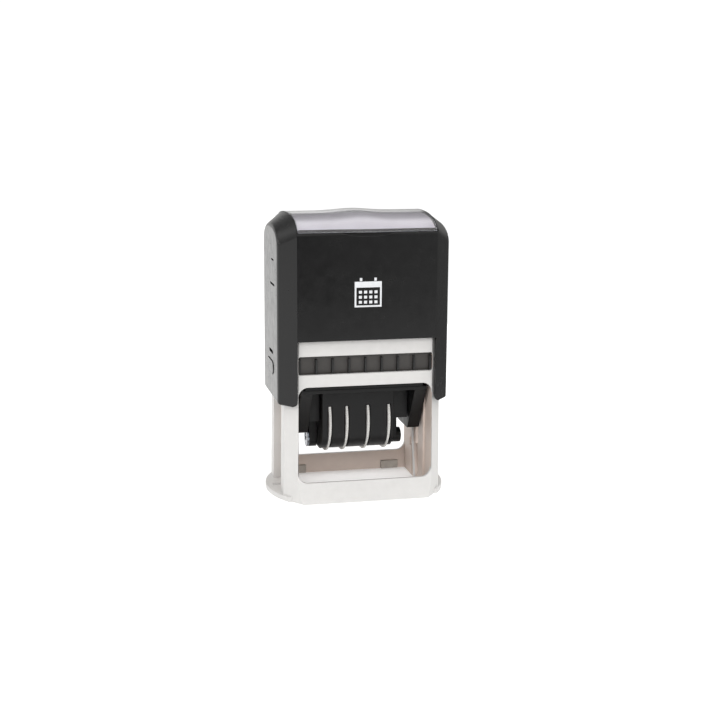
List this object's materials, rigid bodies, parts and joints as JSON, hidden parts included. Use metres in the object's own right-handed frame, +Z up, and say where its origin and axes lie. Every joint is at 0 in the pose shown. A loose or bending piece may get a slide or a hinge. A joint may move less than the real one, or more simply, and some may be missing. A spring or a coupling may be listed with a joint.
{
  "type": "rotary date stamp",
  "caption": "Self-inking date stamp: a sprung cover drives a flip-over die carriage with date wheels inside a windowed frame.",
  "frame": {"origin": "centre of the base on the paper plane", "axes": "+Z up, -Y is the front, +X to the right seen from the front"},
  "size_m": [0.0762, 0.051, 0.1193],
  "materials": {
    "frame_plastic": "satin moulded",
    "foot_rubber": "matt",
    "pad_plastic": "satin moulded",
    "felt": "inked felt",
    "cover_plastic": "satin gloss",
    "clear_plastic": "polished clear",
    "label_paper": "coated",
    "steel": "zinc plated",
    "bright_steel": "bright",
    "carriage_plastic": "satin moulded",
    "band_cover_plastic": "satin moulded",
    "die_rubber": "smooth",
    "band_rubber": "smooth",
    "wheel_plastic": "satin moulded"
  },
  "bodies": {
    "frame": {"base_frame": "frame_plastic", "foot_pads": "foot_rubber", "ink_pad_tray": "pad_plastic", "ink_pad_felt": "felt", "left_return_spring": "steel", "right_return_spring": "steel"},
    "cover": {"top_cover": "cover_plastic", "index_label": "label_paper", "drive_bracket": "steel", "left_axle_pin": "steel", "right_axle_pin": "steel"},
    "window": {"index_window": "clear_plastic"},
    "left_button": {"left_lock_button": "cover_plastic"},
    "right_button": {"right_lock_button": "cover_plastic"},
    "die": {"die_carriage": "carriage_plastic", "left_follower_pin": "steel", "right_follower_pin": "steel", "die_base_plate": "carriage_plastic", "text_die": "die_rubber", "band_cover": "band_cover_plastic", "left_band_cheek": "carriage_plastic", "right_band_cheek": "carriage_plastic", "left_boss_cap": "bright_steel", "right_boss_cap": "bright_steel", "wheel_shaft": "steel", "print_bar": "carriage_plastic", "day_tens_band": "band_rubber", "day_units_band": "band_rubber", "month_band": "band_rubber", "year_band": "band_rubber"},
    "day_tens_spin": {"day_tens_wheel": "wheel_plastic"},
    "day_units_spin": {"day_units_wheel": "wheel_plastic"},
    "month_spin": {"month_wheel": "wheel_plastic"},
    "year_spin": {"year_wheel": "wheel_plastic"}
  },
  "joints": [
    {"name": "cover_press", "type": "slide", "parent": "frame", "child": "cover", "axis": [0, 0, -1], "range_m": [0, 0.0385], "stiffness_N_per_m": 450, "springref_m": -0.012, "deforming": ["left_return_spring", "right_return_spring"]},
    {"name": "die_flip", "type": "hinge", "parent": "cover", "child": "die", "pos_m": [0, 0, 0.044], "axis": [-1, 0, 0], "range_deg": [0, 180]},
    {"name": "window_lift", "type": "slide", "parent": "cover", "child": "window", "axis": [0, 0, 1], "range_m": [0, 0.008]},
    {"name": "left_lock_press", "type": "slide", "parent": "cover", "child": "left_button", "axis": [1, 0, 0], "range_m": [0, 0.0013], "stiffness_N_per_m": 500, "springref_m": -0.001},
    {"name": "right_lock_press", "type": "slide", "parent": "cover", "child": "right_button", "axis": [-1, 0, 0], "range_m": [0, 0.0013], "stiffness_N_per_m": 500, "springref_m": -0.001},
    {"name": "day_tens_turn", "type": "hinge", "parent": "die", "child": "day_tens_spin", "pos_m": [-0.0132, 0, 0.0312], "axis": [1, 0, 0], "continuous": true},
    {"name": "day_units_turn", "type": "hinge", "parent": "die", "child": "day_units_spin", "pos_m": [-0.006, 0, 0.0312], "axis": [1, 0, 0], "continuous": true},
    {"name": "month_turn", "type": "hinge", "parent": "die", "child": "month_spin", "pos_m": [0.0031, 0, 0.0312], "axis": [1, 0, 0], "continuous": true},
    {"name": "year_turn", "type": "hinge", "parent": "die", "child": "year_spin", "pos_m": [0.0121, 0, 0.0312], "axis": [1, 0, 0], "continuous": true}
  ],
  "couplings": [
    {"joint": "die_flip", "follows": "cover_press", "rad_per_m": 81.6}
  ]
}
